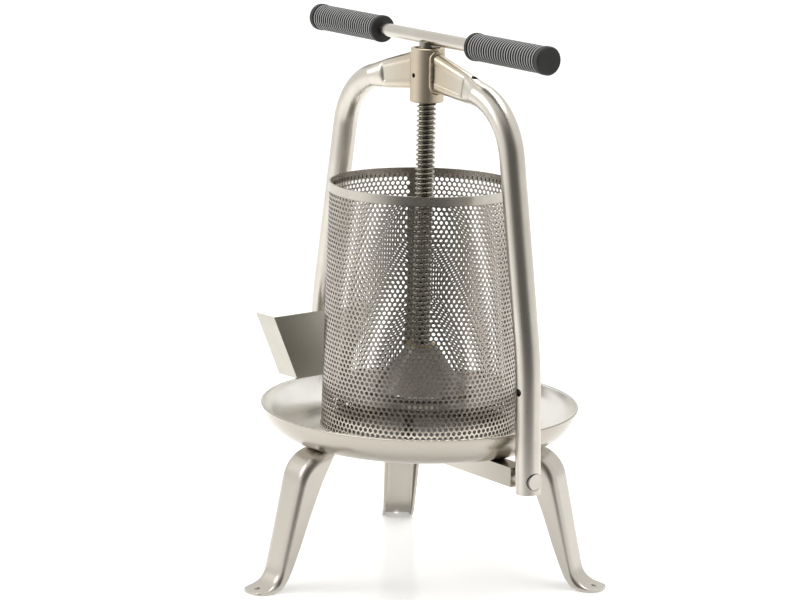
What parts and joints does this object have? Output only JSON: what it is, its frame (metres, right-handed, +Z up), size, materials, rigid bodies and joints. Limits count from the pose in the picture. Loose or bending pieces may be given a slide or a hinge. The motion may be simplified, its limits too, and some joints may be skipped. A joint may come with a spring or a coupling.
{
  "type": "screw fruit press",
  "caption": "Table-top screw press for fruit: a perforated basket in a drip pan on splayed legs, with a tilting tube yoke and a bar-turned screw that drives a swivelling plate.",
  "frame": {"origin": "On the table, under the screw, at the middle of the circle of foot holes.", "axes": "+Z up along the screw, +X along the crossbar to the near yoke tube, +Y to the side between two of the legs."},
  "size_m": [0.4348, 0.377, 0.5707],
  "materials": {
    "pan_sheet": "satin stainless sheet",
    "leg_sheet": "satin stainless sheet",
    "rivet_steel": "bright stainless",
    "screw_steel": "turned stainless",
    "yoke_tube": "polished stainless tube",
    "boss_steel": "matte turned stainless",
    "nut_brass": "machined brass",
    "dark_steel": "blackened steel",
    "grip_rubber": "ribbed matte rubber",
    "plate_steel": "turned stainless",
    "basket_sheet": "perforated stainless sheet",
    "basket_band": "satin stainless sheet"
  },
  "bodies": {
    "base": {"drip_pan": "pan_sheet", "leg_left": "leg_sheet", "leg_right": "leg_sheet", "leg_back": "leg_sheet", "leg_rivets": "rivet_steel", "crossbar": "leg_sheet", "crossbar_rivets": "rivet_steel", "pivot_pin_near": "screw_steel", "pivot_pin_far": "screw_steel", "splash_guard": "pan_sheet"},
    "yoke": {"yoke_tube_near": "yoke_tube", "yoke_tube_far": "yoke_tube", "yoke_boss": "boss_steel", "screw_nut": "nut_brass", "nut_set_screw": "dark_steel"},
    "follower": {"press_plate": "plate_steel", "plate_hub": "plate_steel", "hub_rivets": "rivet_steel", "thrust_washer": "nut_brass"},
    "screw": {"press_screw": "screw_steel", "handle_bar": "yoke_tube", "keeper_pin": "dark_steel", "keeper_washer": "rivet_steel", "grip_near": "grip_rubber", "grip_far": "grip_rubber"},
    "basket": {"basket_wall": "basket_sheet", "basket_top_band": "basket_band", "basket_low_band": "basket_band", "basket_seam": "basket_band"}
  },
  "joints": [
    {"name": "yoke_tilt", "type": "hinge", "parent": "base", "child": "yoke", "pos_m": [0, 0, 0.132], "axis": [1, 0, 0], "range_deg": [-4, 4]},
    {"name": "plate_travel", "type": "slide", "parent": "yoke", "child": "follower", "axis": [0, 0, 1], "range_m": [0, 0.25]},
    {"name": "screw_turn", "type": "hinge", "parent": "follower", "child": "screw", "pos_m": [0, 0, 0.2375], "axis": [0, 0, 1], "range_deg": [0, 18000]},
    {"name": "basket_lift", "type": "slide", "parent": "base", "child": "basket", "axis": [0, 0, 1], "range_m": [0, 0.012]}
  ],
  "couplings": [
    {"joint": "plate_travel", "follows": "screw_turn", "m_per_rad": 0.00079577}
  ]
}
